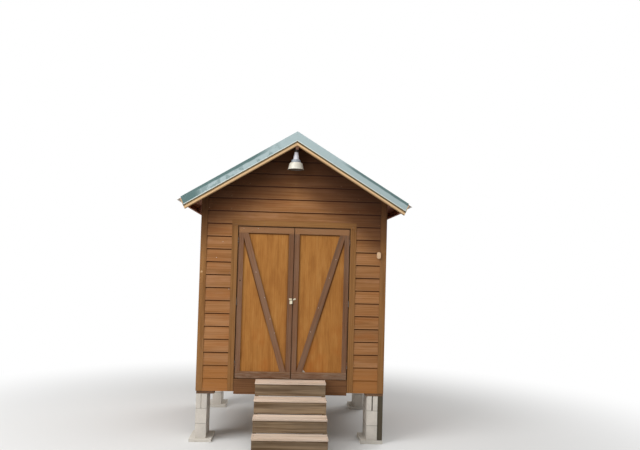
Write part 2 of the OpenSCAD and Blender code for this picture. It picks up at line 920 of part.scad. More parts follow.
// Notched side boards that carry the treads
function notch_points() = [
    for (i = [tread_count - 1 : -1 : 0]) each [
        [tread_front(i) + nosing + riser_t, max(tread_top(i + 1) - tread_t, 0)],
        [tread_front(i) + nosing + riser_t, tread_top(i) - tread_t]
    ]
];

module step_stringers() {
    angle = atan2(step_rise, step_run);
    drop = stringer_throat / cos(angle);
    back_z = tread_top(1) - tread_t - drop + (tread_d - nosing - riser_t) * tan(angle);
    foot_y = steps_back - back_z / tan(angle);
    color("dimgray") placed() both_sides() sideways(stringer_x, lumber_t) {
        polygon(concat(notch_points(),
            [[steps_back, tread_top(0) - tread_t], [steps_back, back_z], [foot_y, 0]]));
    }
}

// Small oval box on the corner board's edge, packed out from the siding behind it
fitting_inset = 20;

module wall_fitting() {
    x = siding_half - fitting_inset;
    z = head_z - fitting_drop;
    round = fitting_w / 2 - 1;
    pack_w = fitting_inset + fitting_w / 4;
    color("beige") placed() {
        upright(-trim_t - fitting_t, fitting_t) translate([x, z]) offset(r = round) {
            square([fitting_w - 2 * round, fitting_h - 2 * round], center = true);
        }
        board([siding_half - pack_w, -trim_t, z - fitting_h / 2 + round],
            [pack_w - fitting_inset / 2, trim_t - lap_butt, fitting_h - 2 * round]);
    }
}

footing_pads();
bottom_and_top_blocks();
middle_blocks();
pier_shims();
corner_post();
floor_frame();
floor_deck();
sill_board();
wall_studs();
wall_plates();
door_header();
side_siding();
back_siding();
front_siding();
gable_siding();
corner_boards();
door_casings();
frame_hinges();
color("chocolate") left_leaf() leaf_panel();  // left_door_panel
color("gray") left_leaf() leaf_stiles();  // left_door_stiles
color("gray") left_leaf() leaf_rails();  // left_door_rails
color("gray") left_leaf() leaf_brace();  // left_door_brace
color("dimgray") left_leaf() leaf_hinges();  // left_door_hinges
hasp_staple();
padlock();
color("chocolate") right_leaf() leaf_panel();  // right_door_panel
color("gray") right_leaf() leaf_stiles();  // right_door_stiles
color("gray") right_leaf() leaf_rails();  // right_door_rails
color("gray") right_leaf() leaf_brace();  // right_door_brace
color("dimgray") right_leaf() leaf_hinges();  // right_door_hinges
door_hasp();
ridge_board();
rafters();
eave_boards();
rake_boards();
roof_deck();
roof_sheets();
ridge_cap();
rake_trims();
lamp_holder();
lamp_shade();
step_stringers();
step_risers();
step_treads();
wall_fitting();
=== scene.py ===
import math
import random

import bpy
from mathutils import Matrix, Vector


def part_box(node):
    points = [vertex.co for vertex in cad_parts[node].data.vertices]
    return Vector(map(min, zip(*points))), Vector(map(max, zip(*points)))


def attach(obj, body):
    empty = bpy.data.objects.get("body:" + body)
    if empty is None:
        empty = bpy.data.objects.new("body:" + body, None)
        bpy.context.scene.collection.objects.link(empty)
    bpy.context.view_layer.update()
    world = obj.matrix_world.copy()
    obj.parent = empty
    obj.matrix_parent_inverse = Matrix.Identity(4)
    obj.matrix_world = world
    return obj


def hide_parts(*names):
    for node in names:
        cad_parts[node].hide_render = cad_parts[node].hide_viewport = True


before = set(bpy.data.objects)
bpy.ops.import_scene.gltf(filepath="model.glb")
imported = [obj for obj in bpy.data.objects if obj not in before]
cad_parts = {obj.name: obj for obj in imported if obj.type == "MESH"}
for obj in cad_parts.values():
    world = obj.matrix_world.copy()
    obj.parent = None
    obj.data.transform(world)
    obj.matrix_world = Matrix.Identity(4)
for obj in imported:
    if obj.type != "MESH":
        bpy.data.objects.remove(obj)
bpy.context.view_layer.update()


# The view
# The shed is seen from the front, a little left of its middle and from a little below the top
# of its doors. It stands on a plain pale floor, in soft light from overhead, left and behind.
camera_place = (-0.1155, -9.3113, 2.3447)
yaw, pitch, roll = 0.0535, -0.0408, -0.0270
ahead = Vector((math.sin(yaw) * math.cos(pitch), math.cos(yaw) * math.cos(pitch),
                -math.sin(pitch)))
level = Vector((math.cos(yaw), -math.sin(yaw), 0))
across = level * math.cos(roll) - level.cross(ahead) * math.sin(roll)
bpy.ops.object.camera_add()
camera = bpy.context.object
camera.matrix_world = (Matrix.Translation(camera_place)
                       @ Matrix((across, across.cross(ahead), -ahead)).transposed().to_4x4())
camera.data.lens, camera.data.sensor_width = 36, 36
camera.data.shift_y = 0.0225
camera.data.clip_end = 200
bpy.context.scene.camera = camera
bpy.context.scene.view_settings.view_transform = "Standard"


class Feed:
    """A value, vector or colour on its way through a finish. Sums written on it add its nodes."""

    def __init__(self, finish, socket):
        self.finish, self.socket = finish, socket

    def sum(self, operation, a, b):
        kinds = [v.socket.type if isinstance(v, Feed) else "VECTOR" if isinstance(v, tuple)
                 else "VALUE" for v in (a, b)]
        if kinds == ["VALUE", "VALUE"]:
            return self.finish.node("Math", {"operation": operation}, (a, b))
        a, b = ((v, v, v) if isinstance(v, (int, float)) else v for v in (a, b))
        return self.finish.node("VectorMath", {"operation": operation}, (a, b))

    def __add__(self, other):
        return self.sum("ADD", self, other)

    __radd__ = __add__

    def __sub__(self, other):
        return self.sum("SUBTRACT", self, other)

    def __rsub__(self, other):
        return self.sum("SUBTRACT", other, self)

    def __mul__(self, other):
        return self.sum("MULTIPLY", self, other)

    __rmul__ = __mul__

    def __truediv__(self, other):
        return self.sum("DIVIDE", self, other)


class Finish:
    """A material, or the sky, under a plain name, built up node by node."""

    def __init__(self, name, kept_with="materials"):
        self.material = getattr(bpy.data, kept_with).new(name)
        self.material.use_nodes = True
        self.tree = self.material.node_tree
        self.tree.nodes.clear()

    def node(self, kind, settings=None, sockets=(), out=0):
        """Adds a node and gives back what comes out of it."""
        made = self.tree.nodes.new("ShaderNode" + kind)
        for key, value in (settings or {}).items():
            setattr(made, key, value)
        named = sockets if isinstance(sockets, dict) else dict(enumerate(sockets))
        for key, value in named.items():
            if isinstance(value, Feed):
                self.tree.links.new(value.socket, made.inputs[key])
            else:
                made.inputs[key].default_value = value
        if isinstance(out, tuple):
            return [Feed(self, made.outputs[o]) for o in out]
        return Feed(self, made.outputs[out]) if made.outputs else None

    def place(self):
        return self.node("TexCoord", out="Object")

    def stored(self, name, out):
        """What lay_grain stored for each board under a name."""
        return self.node("Attribute", {"attribute_name": name}, out=out)

    def facing(self):
        """The three parts of the direction that a surface faces."""
        return self.parts(self.node("NewGeometry", out="Normal"))

    def parts(self, vector):
        return self.node("SeparateXYZ", {}, (vector,), out=(0, 1, 2))

    def size_of(self, value):
        return self.node("Math", {"operation": "ABSOLUTE"}, (value,))

    def length(self, vector):
        return self.node("VectorMath", {"operation": "LENGTH"}, (vector,), out="Value")

    def greater(self, a, b):
        return self.node("Math", {"operation": "MAXIMUM"}, (a, b))

    def to_and_fro(self, value, reach):
        """Runs from 0 up to a reach and back to 0, over and over, as a value rises."""
        return self.node("Math", {"operation": "PINGPONG"}, (value, reach))

    def cloud(self, place, scale, detail=2.0, rough=0.5):
        return self.node("TexNoise", {}, {"Vector": place, "Scale": scale, "Detail": detail,
                                          "Roughness": rough})

    def drawn_cloud(self, parts, scales, detail, rough):
        """A cloud drawn out or pressed together by its own amount along x, y and z."""
        place = self.node("CombineXYZ", {}, [part * scale for part, scale in zip(parts, scales)])
        return self.cloud(place, 1.0, detail, rough)

    def spots(self, place, scale):
        return self.node("TexVoronoi", {}, {"Vector": place, "Scale": scale},
                         out=("Distance", "Color"))

    def between(self, value, low, high):
        """0 where a value is at or under low, 1 where it is at or over high, smooth in between."""
        return self.node("MapRange", {"interpolation_type": "SMOOTHSTEP"},
                         {0: value, 1: low, 2: high})

    def fading(self, value, low, high):
        """1 where a value is at or under low, 0 where it is at or over high."""
        return 1 - self.between(value, low, high)

    def near(self, place, point, radius):
        """1 at a point, falling to 0 at a radius from it."""
        far = self.node("VectorMath", {"operation": "DISTANCE"}, (place, point), out="Value")
        return self.fading(far, radius * 0.55, radius)

    def mixed(self, share, a, b, blend="MIX"):
        a, b = ((*v, 1.0) if isinstance(v, tuple) else v for v in (a, b))
        return self.node("Mix", {"data_type": "RGBA", "blend_type": blend},
                         {0: share, 6: a, 7: b}, out=2)

    def toned(self, colour, share):
        """A colour multiplied by a grey."""
        grey = self.node("CombineColor", {}, (share,) * 3)
        return self.mixed(1.0, colour, grey, "MULTIPLY")

    def surface(self, colour, rough, height, depth, fixed):
        bump = self.node("Bump", {}, {"Strength": 1.0, "Distance": depth, "Height": height})
        sockets = {"Base Color": colour, "Roughness": rough, "Normal": bump}
        shader = self.node("BsdfPrincipled", {}, sockets | fixed)
        self.node("OutputMaterial", {}, (shader,))
        return self.material


fade_start, fade_end = 3.0, 7.0
paint = Finish("pale_floor")
away = paint.length(paint.place())
shown = (paint.between(away, fade_start, fade_end)
         * paint.node("LightPath", out="Is Camera Ray"))
plain = paint.node("BsdfDiffuse", {}, {"Color": (0.82, 0.82, 0.81, 1)})
white = paint.node("Emission", {}, {"Color": (1, 1, 1, 1), "Strength": 1.0})
paint.node("OutputMaterial", {}, (paint.node("MixShader", {}, (shown, plain, white)),))
bpy.ops.mesh.primitive_plane_add(size=60)
floor = bpy.context.object
floor.name = "floor"
floor.data.materials.append(paint.material)

# The sky is white where it is seen, also in metal, and dimmer as a light on the shed.
sky_seen, sky_light = 1.0, 0.30
sky = Finish("plain_sky", "worlds")
to_camera, in_metal, through = sky.node(
    "LightPath", out=("Is Camera Ray", "Is Glossy Ray", "Is Transmission Ray"))
looked_at = sky.greater(sky.greater(to_camera, in_metal), through)
glow = sky.node("Background", {}, {"Color": (1, 1, 1, 1),
                                   "Strength": looked_at * (sky_seen - sky_light) + sky_light})
sky.node("OutputWorld", {}, (glow,))
bpy.context.scene.world = sky.material


def soft_lamp(name, place, aim, size, power):
    """A large square soft lamp, turned towards a point."""
    bpy.ops.object.light_add(type="AREA", location=place)
    lamp = bpy.context.object
    lamp.name = name
    lamp.rotation_euler = (Vector(aim) - Vector(place)).to_track_quat("-Z", "Y").to_euler()
    lamp.data.size, lamp.data.energy = size, power


soft_lamp("overhead", (-1.5, -4.0, 11.0), (0, -0.5, 1.5), 9.0, 560)
soft_lamp("front_left", (-6.5, -6.0, 6.5), (0, -0.8, 2.0), 6.0, 500)
soft_lamp("behind", (6.0, 8.0, 8.0), (0, 0.5, 2.0), 7.0, 420)


# Concrete piers
# Each corner stands on a cast footing pad and three hollow concrete blocks laid dry, one on
# another. On the right the top block has a groove down its end, its inside painted dark as
# shade. All the rest is bare, pale cement.
block_course = 0.194
pier_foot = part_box("footing_pads")[1][2]
groove_least, groove_most, groove_above = 0.0035, 0.0085, 0.4


def take(*pieces):
    """Selects these objects alone."""
    bpy.ops.object.select_all(action="DESELECT")
    for piece in pieces:
        piece.select_set(True)
    bpy.context.view_layer.objects.active = pieces[0]


def pick(piece, chosen):
    """Opens a piece in edit mode with only the faces that pass a test selected."""
    take(piece)
    bpy.ops.object.mode_set(mode="EDIT")
    bpy.ops.mesh.select_mode(type="FACE")
    bpy.ops.mesh.select_all(action="DESELECT")
    bpy.ops.object.mode_set(mode="OBJECT")
    for face in piece.data.polygons:
        face.select = chosen(face)
    bpy.ops.object.mode_set(mode="EDIT")


def cut(piece, chosen, point, square_to):
    """Cuts the faces that pass a test along a flat plane."""
    pick(piece, chosen)
    bpy.ops.mesh.bisect(plane_co=point, plane_no=square_to)
    bpy.ops.object.mode_set(mode="OBJECT")


def boards_of(mesh, course=None):
    """The faces of each separate board in a mesh, or of each course where a solid holds many."""
    owner = list(range(len(mesh.vertices)))

    def first_of(v):
        while owner[v] != v:
            owner[v] = owner[owner[v]]
            v = owner[v]
        return v

    for edge in mesh.edges:
        owner[first_of(edge.vertices[0])] = first_of(edge.vertices[1])
    found = {}
    for face in mesh.polygons:
        key = (first_of(face.vertices[0]), course(face.center) if course else 0)
        found.setdefault(key, []).append(face)
    return [found[key] for key in sorted(found)]


def longest(points, middle):
    """The direction in which a board is longest."""
    run = max((p - middle for p in points), key=lambda d: d.length).normalized()
    for _ in range(30):
        run = sum(((p - middle) * (p - middle).dot(run) for p in points), Vector()).normalized()
    return run


def lay_grain(mesh, seed, along=None, course=None):
    """Gives each board of a mesh its grain's direction, its heart line and a tone of its own."""
    luck = random.Random(seed)
    off_middle, down_log = 0.09, 40
    for name, kind in (("along", "FLOAT_VECTOR"), ("heart", "FLOAT_VECTOR"), ("tone", "FLOAT")):
        mesh.attributes.new(name, kind, "FACE")
    runs, hearts, tones = (mesh.attributes[name].data for name in ("along", "heart", "tone"))
    for faces in boards_of(mesh, course):
        points = [mesh.vertices[v].co for face in faces for v in face.vertices]
        middle = sum(points, Vector()) / len(points)
        run = Vector(along) if along else longest(points, middle)
        aside = Vector([luck.uniform(-1, 1) * off_middle for _ in range(3)])
        heart = middle + aside + run * luck.uniform(-down_log, down_log)
        tone = luck.random()
        for face in faces:
            runs[face.index].vector = run
            hearts[face.index].vector = heart
            tones[face.index].value = tone


def finished(node, finish, edge=0.0015, body="shed", along=None, course=None, shape=None):
    """A copy of a solid of the frame that stands in for it, merged, shaped, with eased edges."""
    piece = bpy.data.objects.new(node + "_finished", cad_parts[node].data.copy())
    bpy.context.scene.collection.objects.link(piece)
    take(piece)
    bpy.ops.mesh.customdata_custom_splitnormals_clear()
    bpy.ops.object.mode_set(mode="EDIT")
    bpy.ops.mesh.select_all(action="SELECT")
    bpy.ops.mesh.remove_doubles(threshold=1e-5)
    bpy.ops.mesh.dissolve_limited(angle_limit=math.radians(0.5))
    bpy.ops.object.mode_set(mode="OBJECT")
    if shape:
        shape(piece)
    if edge:
        eased = piece.modifiers.new("eased", "BEVEL")
        eased.width, eased.segments, eased.angle_limit = edge, 2, math.radians(30)
        bpy.ops.object.modifier_apply(modifier=eased.name)
    piece.data.materials.clear()
    piece.data.materials.append(finish)
    lay_grain(piece.data, node, along, course)
    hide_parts(node)
    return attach(piece, body)


def darker(colour, share):
    return tuple(c * share for c in colour)


def cement(name, colour, damp):
    """Bare cement: sand speckle, small open pits, a damp foot and dirt in the joints."""
    f = Finish(name)
    place = f.place()
    high = f.parts(place)[2]
    sand = f.cloud(place, 420, 3, 0.7)
    patch = f.cloud(place, 7, 4, 0.6)
    pit, pick_one = f.spots(place, 130)
    pitted = f.fading(pit, 0.16, 0.34) * f.between(f.parts(pick_one)[0], 0.55, 0.75)
    body = f.mixed(f.between(patch, 0.3, 0.75), darker(colour, 0.84), colour)
    body = f.mixed(f.between(sand, 0.35, 0.7) * 0.35, body, darker(colour, 0.72))
    body = f.mixed(pitted * 0.55, body, darker(colour, 0.42))
    foot = f.fading(high, 0.0, 0.22) * f.between(patch, 0.2, 0.9)
    body = f.mixed(foot * damp, body, (0.23, 0.20, 0.16))
    off_joint = f.to_and_fro(high - pier_foot, block_course / 2)
    joint = f.fading(off_joint, 0.002, 0.007) * f.between(high, 0.1, 0.12)
    body = f.mixed(joint * 0.45, body, (0.20, 0.18, 0.15))
    body = f.toned(body, f.stored("tone", "Fac") * 0.10 + 0.95)
    height = sand * 0.35 + patch * 0.8 - pitted * 1.6
    return f.surface(body, 0.92, height, 0.0016, {"Specular IOR Level": 0.2})


block_cement = cement("block_cement", (0.80, 0.74, 0.66), 0.30)
pad_cement = cement("pad_cement", (0.84, 0.79, 0.71), 0.35)
finished("footing_pads", pad_cement, 0.006)
grooved = finished("bottom_and_top_blocks", block_cement, 0.003)
# The faces inside the right-hand grooves get a near-black cement: painted shade.
grooved.data.materials.append(cement("groove_painted_shade", (0.10, 0.09, 0.075), 0.30))
blocks_front, blocks_back = (corner[1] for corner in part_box("middle_blocks"))
for face in grooved.data.polygons:
    deep = min(face.center.y - blocks_front, blocks_back - face.center.y)
    in_groove = (groove_least < deep < groove_most
                 and face.center.z > groove_above and face.center.x > 0)
    face.material_index = 1 if in_groove else 0
finished("middle_blocks", block_cement, 0.003)


# Timber pads and post
# A short length of framing lumber lies on each pier under the floor frame. A squared post
# stands beside the front right pier, weathered to olive grey.
def timber(name, pale, deep, ring=0.5, streak=0.4, knots=0.0, spread=0.25, rough=0.8,
           grey=None, greyed=0.0, ring_gap=0.011, depth=0.0006, change=None):
    """Sawn softwood: growth rings round each board's heart line, streaks, fibres and knots."""
    f = Finish(name)
    place = f.place()
    along = f.stored("along", "Vector")
    off_heart = place - f.stored("heart", "Vector")
    run = f.node("VectorMath", {"operation": "DOT_PRODUCT"}, (off_heart, along), out="Value")
    side = off_heart - along * run

    def drawn(across_grain, with_grain):
        """The place drawn out along the grain, so that marks lie lengthwise on the board."""
        return side * across_grain + along * (run * with_grain)

    radius = f.length(side) + f.cloud(drawn(2.2, 0.55), 1.6, 2) * 0.055
    late = f.between(f.to_and_fro(radius, ring_gap), 0.45 * ring_gap, ring_gap)
    wide = f.cloud(drawn(26, 0.8), 1.0, 4, 0.65)
    fibre = f.cloud(drawn(260, 7), 1.0, 2, 0.6)
    dark = late * ring + f.between(wide, 0.3, 0.7) * streak + fibre * 0.15
    body = f.mixed(f.between(dark, 0.05, 1.0), pale, deep)
    height = fibre * 0.8 + late * 0.5 + wide * 0.4
    if knots:
        eye, pick_one = f.spots(drawn(7.5, 2.6), 1.0)
        chosen = f.between(f.parts(pick_one)[1], 1 - knots, 1.02 - knots)
        knot = f.fading(eye, 0.05, 0.13) * chosen
        body = f.mixed(knot * 0.85, body, darker(deep, 0.38))
        height = height - knot * 0.8
    if grey:
        bloom = f.cloud(drawn(9, 1.3), 1.0, 3, 0.65) + 0.10 - f.parts(place)[2] * 0.045
        share = f.between(bloom, 0.62 - 0.5 * greyed, 0.85 - 0.35 * greyed)
        body = f.mixed(share * greyed, body, grey)
    body = f.toned(body, f.stored("tone", "Fac") * spread + (1 - spread / 2))
    if change:
        body, height = change(f, place, body, height)
    return f.surface(body, rough, height, depth, {"Specular IOR Level": 0.12})


shim_timber = timber("shim_timber", (0.24, 0.125, 0.065), (0.12, 0.060, 0.030),
                     grey=(0.20, 0.15, 0.11), greyed=0.4)
post_timber = timber("post_timber", (0.110, 0.085, 0.056), (0.058, 0.044, 0.028),
                     grey=(0.115, 0.105, 0.078), greyed=0.5)
finished("pier_shims", shim_timber, 0.002)
finished("corner_post", post_timber, 0.002)


# Floor
# Rim boards and joists of raw framing lumber carry the floor boards, which lie side to side.
# The board under the doors is stained dark, reddish brown.
deck_board, saw_wide, saw_deep = 0.14, 0.0024, 0.004
front_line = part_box("floor_deck")[0][1]


def boarded(piece):
    """Saws narrow grooves into the top of the floor, one at each joint between boards."""
    joints = [front_line + deck_board * i for i in range(1, 18)]
    for joint in joints:
        for edge in (joint - saw_wide / 2, joint + saw_wide / 2):
            cut(piece, lambda face: True, (0, edge, 0), (0, 1, 0))
    pick(piece, lambda face: face.normal.z > 0.9
         and min(abs(face.center.y - joint) for joint in joints) < saw_wide / 6)
    bpy.ops.mesh.extrude_region_move(TRANSFORM_OT_translate={"value": (0, 0, -saw_deep)})
    bpy.ops.object.mode_set(mode="OBJECT")


frame_timber = timber("frame_timber", (0.56, 0.36, 0.18), (0.33, 0.19, 0.085), knots=0.25,
                      grey=(0.34, 0.27, 0.20), greyed=0.3)
deck_timber = timber("deck_timber", (0.50, 0.33, 0.18), (0.29, 0.17, 0.085), knots=0.2,
                     ring=0.6, streak=0.5)
sill_stain = timber("sill_stain", (0.190, 0.088, 0.038), (0.105, 0.046, 0.020), 0.35, 0.5)
finished("floor_frame", frame_timber, 0.002)
finished("floor_deck", deck_timber, 0, along=(1, 0, 0), shape=boarded,
         course=lambda centre: math.floor((centre.y - front_line) / deck_board))
finished("sill_board", sill_stain, 0.002)


# Wall frame
# Studs, plates and the header over the doorway, all of the same raw lumber as the floor's
# frame. They show only from inside, through the open doors.
for node in ("wall_studs", "wall_plates", "door_header"):
    finished(node, frame_timber, 0.002)


# Roof frame
# A ridge board, pairs of rafters and a board across their tails, under boarded sheathing, all
# in a reddish stain. At each gable a pair of wider boards stands clear of the wall, raw and
# tan, with a painted shadow along the top under the metal trim and painted shade along the
# lower edge.
roof_angle = math.radians(31.3)
roof_cos, roof_sin = math.cos(roof_angle), math.sin(roof_angle)
ridge_line = 4.0551
down, clear = Vector((roof_cos, 0, -roof_sin)), Vector((roof_sin, 0, roof_cos))
sheathing_board = 0.14


def on_slope(side, down_by, out_by=0.0, y=0.0):
    """A point so far down a slope from the ridge and so far out from the sheathing's underside."""
    return Vector((side * (down.x * down_by + clear.x * out_by), y,
                   ridge_line + down.z * down_by + clear.z * out_by))


def depth_under(x, z):
    """How far a point is below the sheathing's underside, square to the slope."""
    return (ridge_line - z) * roof_cos - abs(x) * roof_sin


def under_roof(f, place):
    """The same depth, for the places of a finish."""
    x, _, z = f.parts(place)
    return (ridge_line - z) * roof_cos - f.size_of(x) * roof_sin


def shaded_top_and_foot(f, place, body, height):
    """A painted shadow under the trim's hem, and painted shade along the board's lower edge."""
    deep = under_roof(f, place)
    ragged = deep + f.cloud(place, 40, 3, 0.6) * 0.004
    line = f.between(ragged, 0.068, 0.076) * f.fading(ragged, 0.100, 0.108)
    body = f.mixed(line * 0.92, body, (0.085, 0.062, 0.026))
    return f.mixed(f.between(deep, 0.125, 0.130) * 0.75, body, (0.16, 0.085, 0.035)), height


def sheathed(piece):
    """Saws the sheathing into boards that lie front to back."""
    for side in (-1, 1):
        for i in range(1, 13):
            cut(piece, lambda face: face.center.x * side > 0,
                on_slope(side, sheathing_board * i), (side * down.x, 0, down.z))


def sheathing_row(centre):
    row = math.floor(abs(centre.x) / down.x / sheathing_board) + 1
    return math.copysign(row, centre.x)


soffit_timber = timber("soffit_timber", (0.52, 0.280, 0.200), (0.34, 0.165, 0.115), 0.4, 0.5)
rake_timber = timber("rake_timber", (0.72, 0.50, 0.28), (0.56, 0.33, 0.16), 0.45, 0.35,
                     knots=0.15, change=shaded_top_and_foot)
for node in ("ridge_board", "rafters", "eave_boards"):
    finished(node, soffit_timber, 0.002)
finished("rake_boards", rake_timber, 0.002)
finished("roof_deck", soffit_timber, 0, along=(0, 1, 0), shape=sheathed,
         course=sheathing_row)


# Lap siding
# Bevelled boards, each lapped over the one below, brushed with an orange-brown stain that has
# stayed redder where the roof shelters it, and darkened there by painted shade. A painted
# shadow lies under each lap and a painted highlight along each butt. They stop against the
# corner boards and the casings, and the gable's are cut to the roof's slope. Small nails hold
# every lap.
wall_bottom, lap, butt, thin = 0.665, 0.170, 0.016, 0.007
wall_low, wall_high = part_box("wall_plates")
wall_front, wall_back, wall_side = wall_low[1], wall_high[1], wall_high[0]


def sheltered_and_shaded(f, place, body, most, lean):
    """Darker, redder stain and painted shade near the roof, reaching lower on the right by a lean.
    """
    deep = (under_roof(f, place) + f.cloud(place, 2.2, 3, 0.6) * 0.16
            - f.parts(place)[0] * lean)
    body = f.mixed(f.fading(deep, 0.52, 0.88) * most, body, (0.052, 0.016, 0.008))
    return f.mixed(f.fading(deep, 0.18, 0.66) * most, body, (0.026, 0.009, 0.005))


def lapped(f, place, body, height):
    """Painted shadow under each lap, painted highlight on each butt, blotches, raw wood inside."""
    x, y, z = f.parts(place)
    up = f.node("Math", {"operation": "FRACT"}, ((z - wall_bottom) / lap,))
    blotch = f.drawn_cloud((x, y, z), (1.6, 1.6, 7), 3, 0.6)
    body = f.mixed(f.between(blotch, 0.50, 0.72) * 0.40, body, (0.34, 0.115, 0.030))
    body = f.mixed(f.fading(blotch, 0.28, 0.48) * 0.40, body, (0.46, 0.235, 0.125))
    # A painted shadow under each lap's butt, then a painted highlight along the butt's foot.
    body = f.mixed(f.between(up, 0.890, 0.925) * 0.95, body, (0.058, 0.018, 0.005))
    body = f.mixed(f.fading(up, 0.0, 0.06) * 0.30, body, (0.55, 0.31, 0.15))
    body = f.mixed(f.fading(z, 0.84, 1.10) * 0.55, body, (0.42, 0.165, 0.040))
    body = sheltered_and_shaded(f, place, body, 0.66, 0.08)
    inside = f.fading(f.size_of(x), wall_side, wall_side + 0.001)
    inside = inside * f.between(y, wall_front - 0.001, wall_front)
    inside = inside * f.fading(y, wall_back, wall_back + 0.001)
    raw = f.mixed(blotch, (0.42, 0.26, 0.14), (0.58, 0.39, 0.23))
    return f.mixed(inside, body, raw), height


def siding_row(centre):
    return math.floor((centre.z - wall_bottom - 0.001) / lap)


siding_stain = timber("siding_stain", (0.395, 0.185, 0.072), (0.265, 0.112, 0.036), 0.3, 0.6,
                      knots=0.12, spread=0.20, grey=(0.40, 0.23, 0.125), greyed=0.3,
                      change=lapped)
for node, along in (("front_siding", (1, 0, 0)), ("gable_siding", (1, 0, 0)),
                    ("back_siding", (1, 0, 0)), ("side_siding", (0, 1, 0))):
    finished(node, siding_stain, 0.0008, along=along, course=siding_row)


def round_stub(sides, radius, low, high):
    """A short upright round from one height to another, on the origin."""
    bpy.ops.object.select_all(action="DESELECT")
    bpy.ops.mesh.primitive_cylinder_add(vertices=sides, radius=radius, depth=high - low,
                                        location=(0, 0, (low + high) / 2))
    bpy.ops.object.transform_apply(location=True, rotation=True, scale=True)
    return bpy.context.object


def nail_head(radius, proud):
    """A flat nail head with a rounded rim, its foot just under the origin."""
    head = round_stub(8, radius, -0.001, proud)
    pick(head, lambda face: face.normal.z > 0.9)
    bpy.ops.mesh.inset(thickness=radius * 0.35, depth=proud * 0.4)
    bpy.ops.object.mode_set(mode="OBJECT")
    return head


def stand(point, out, turn=0.0):
    """Where a small part stands: its foot at a point, its top towards out."""
    facing = Vector(out).to_track_quat("Z", "Y").to_matrix().to_4x4()
    return Matrix.Translation(point) @ facing @ Matrix.Rotation(turn, 4, "Z")


def on_front(x, z, out, turn=0.0):
    """A stand on the front wall, so far out from its frame."""
    return stand((x, wall_front - out, z), (0, -1, 0), turn)


def on_back(x, z, out, turn):
    return stand((x, wall_back + out, z), (0, 1, 0), turn)


def on_side(side, y, z, out, turn):
    return stand((side * (wall_side + out), y, z), (side, 0, 0), turn)


def set_out(name, model, stands, finish, body="shed"):
    """One copy of a small part at each stand, each with a mesh of its own, joined as one piece."""
    copies = []
    for place in stands:
        copy = model.copy()
        copy.data = model.data.copy()
        copy.data.transform(place)
        bpy.context.scene.collection.objects.link(copy)
        copies.append(copy)
    bpy.data.objects.remove(model)
    take(*copies)
    bpy.ops.object.join()
    piece = bpy.context.object
    piece.name = name
    piece.data.materials.clear()
    piece.data.materials.append(finish)
    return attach(piece, body)


def plain_metal(name, colour, rough, metal=0.9, rust=0.0):
    """Small ironwork: fine wear, and rust where it has started."""
    f = Finish(name)
    wear = f.cloud(f.place(), 160, 3, 0.6)
    body = f.mixed(f.between(wear, 0.4, 0.8) * 0.5, colour, darker(colour, 0.6))
    if rust:
        stain = f.between(f.cloud(f.place(), 37, 3, 0.6), 0.62 - 0.3 * rust, 0.80 - 0.3 * rust)
        body = f.mixed(stain, body, (0.20, 0.075, 0.028))
    rough = f.between(wear, 0.2, 0.9) * 0.25 + rough
    return f.surface(body, rough, wear, 0.0002, {"Metallic": metal})


nail_steel = plain_metal("nail_steel", (0.24, 0.17, 0.12), 0.6, 0.4, rust=0.7)
siding_courses, nail_up, clear_of_trim = 19, 0.028, 0.14
beside_doorway, over_doorway, side_wall_top = 0.84, 2.93, 3.15
nails = []
for i in range(siding_courses):
    z = wall_bottom + lap * i + nail_up
    out, turn = butt - (butt - thin) * nail_up / lap, 0.4 * i
    for x in (-1.136, -0.846, -0.6095, 0.0, 0.6095, 0.846, 1.136):
        if depth_under(x, z) < clear_of_trim:
            continue
        if z > over_doorway or abs(x) > beside_doorway:
            nails.append(on_front(x, z, out, turn))
        nails.append(on_back(x, z, out, turn))
    if z < side_wall_top:
        for y in (wall_front + 0.085, wall_front + 0.6095, wall_front + 1.219,
                  wall_front + 1.8285, wall_back - 0.085):
            nails += [on_side(side, y, z, out, turn) for side in (-1, 1)]
set_out("siding_nails", nail_head(0.0038, 0.0008), nails, nail_steel)

bare_steel = plain_metal("bare_steel", (0.60, 0.50, 0.40), 0.5, 0.2)
set_out("new_nails", nail_head(0.0050, 0.0012),
        [on_front(x, z, 0.0142) for x, z in ((-1.022, 2.414), (-0.944, 2.628), (-0.846, 2.003))],
        bare_steel)


# Corner boards and door casings
# Flat boards in the same stain, nailed in pairs over the corners and round the doorway. The
# front left corner board has a pale knot a little above its middle.
trim_face = 0.019


def trim_marks_and_shade(f, place, body, height):
    """Darker near the roof, painted shade on the doorway's inner edges, and the pale knot."""
    body = sheltered_and_shaded(f, place, body, 0.58, 0.0)
    knot = f.near(place, (-1.212, wall_front - trim_face, 2.224), 0.017)
    body = f.mixed(knot * 0.8, body, (0.66, 0.42, 0.22))
    x, y, z = f.parts(place)
    # Painted shade on the casing faces inside the doorway, beside the doors.
    opening = f.fading(f.size_of(x), 0.7475, 0.7520) * f.fading(z, 2.8470, 2.8530)
    reveal_shade = opening * f.fading(y, wall_front, wall_front + 0.02)
    return f.mixed(reveal_shade * 0.8, body, (0.045, 0.020, 0.010)), height


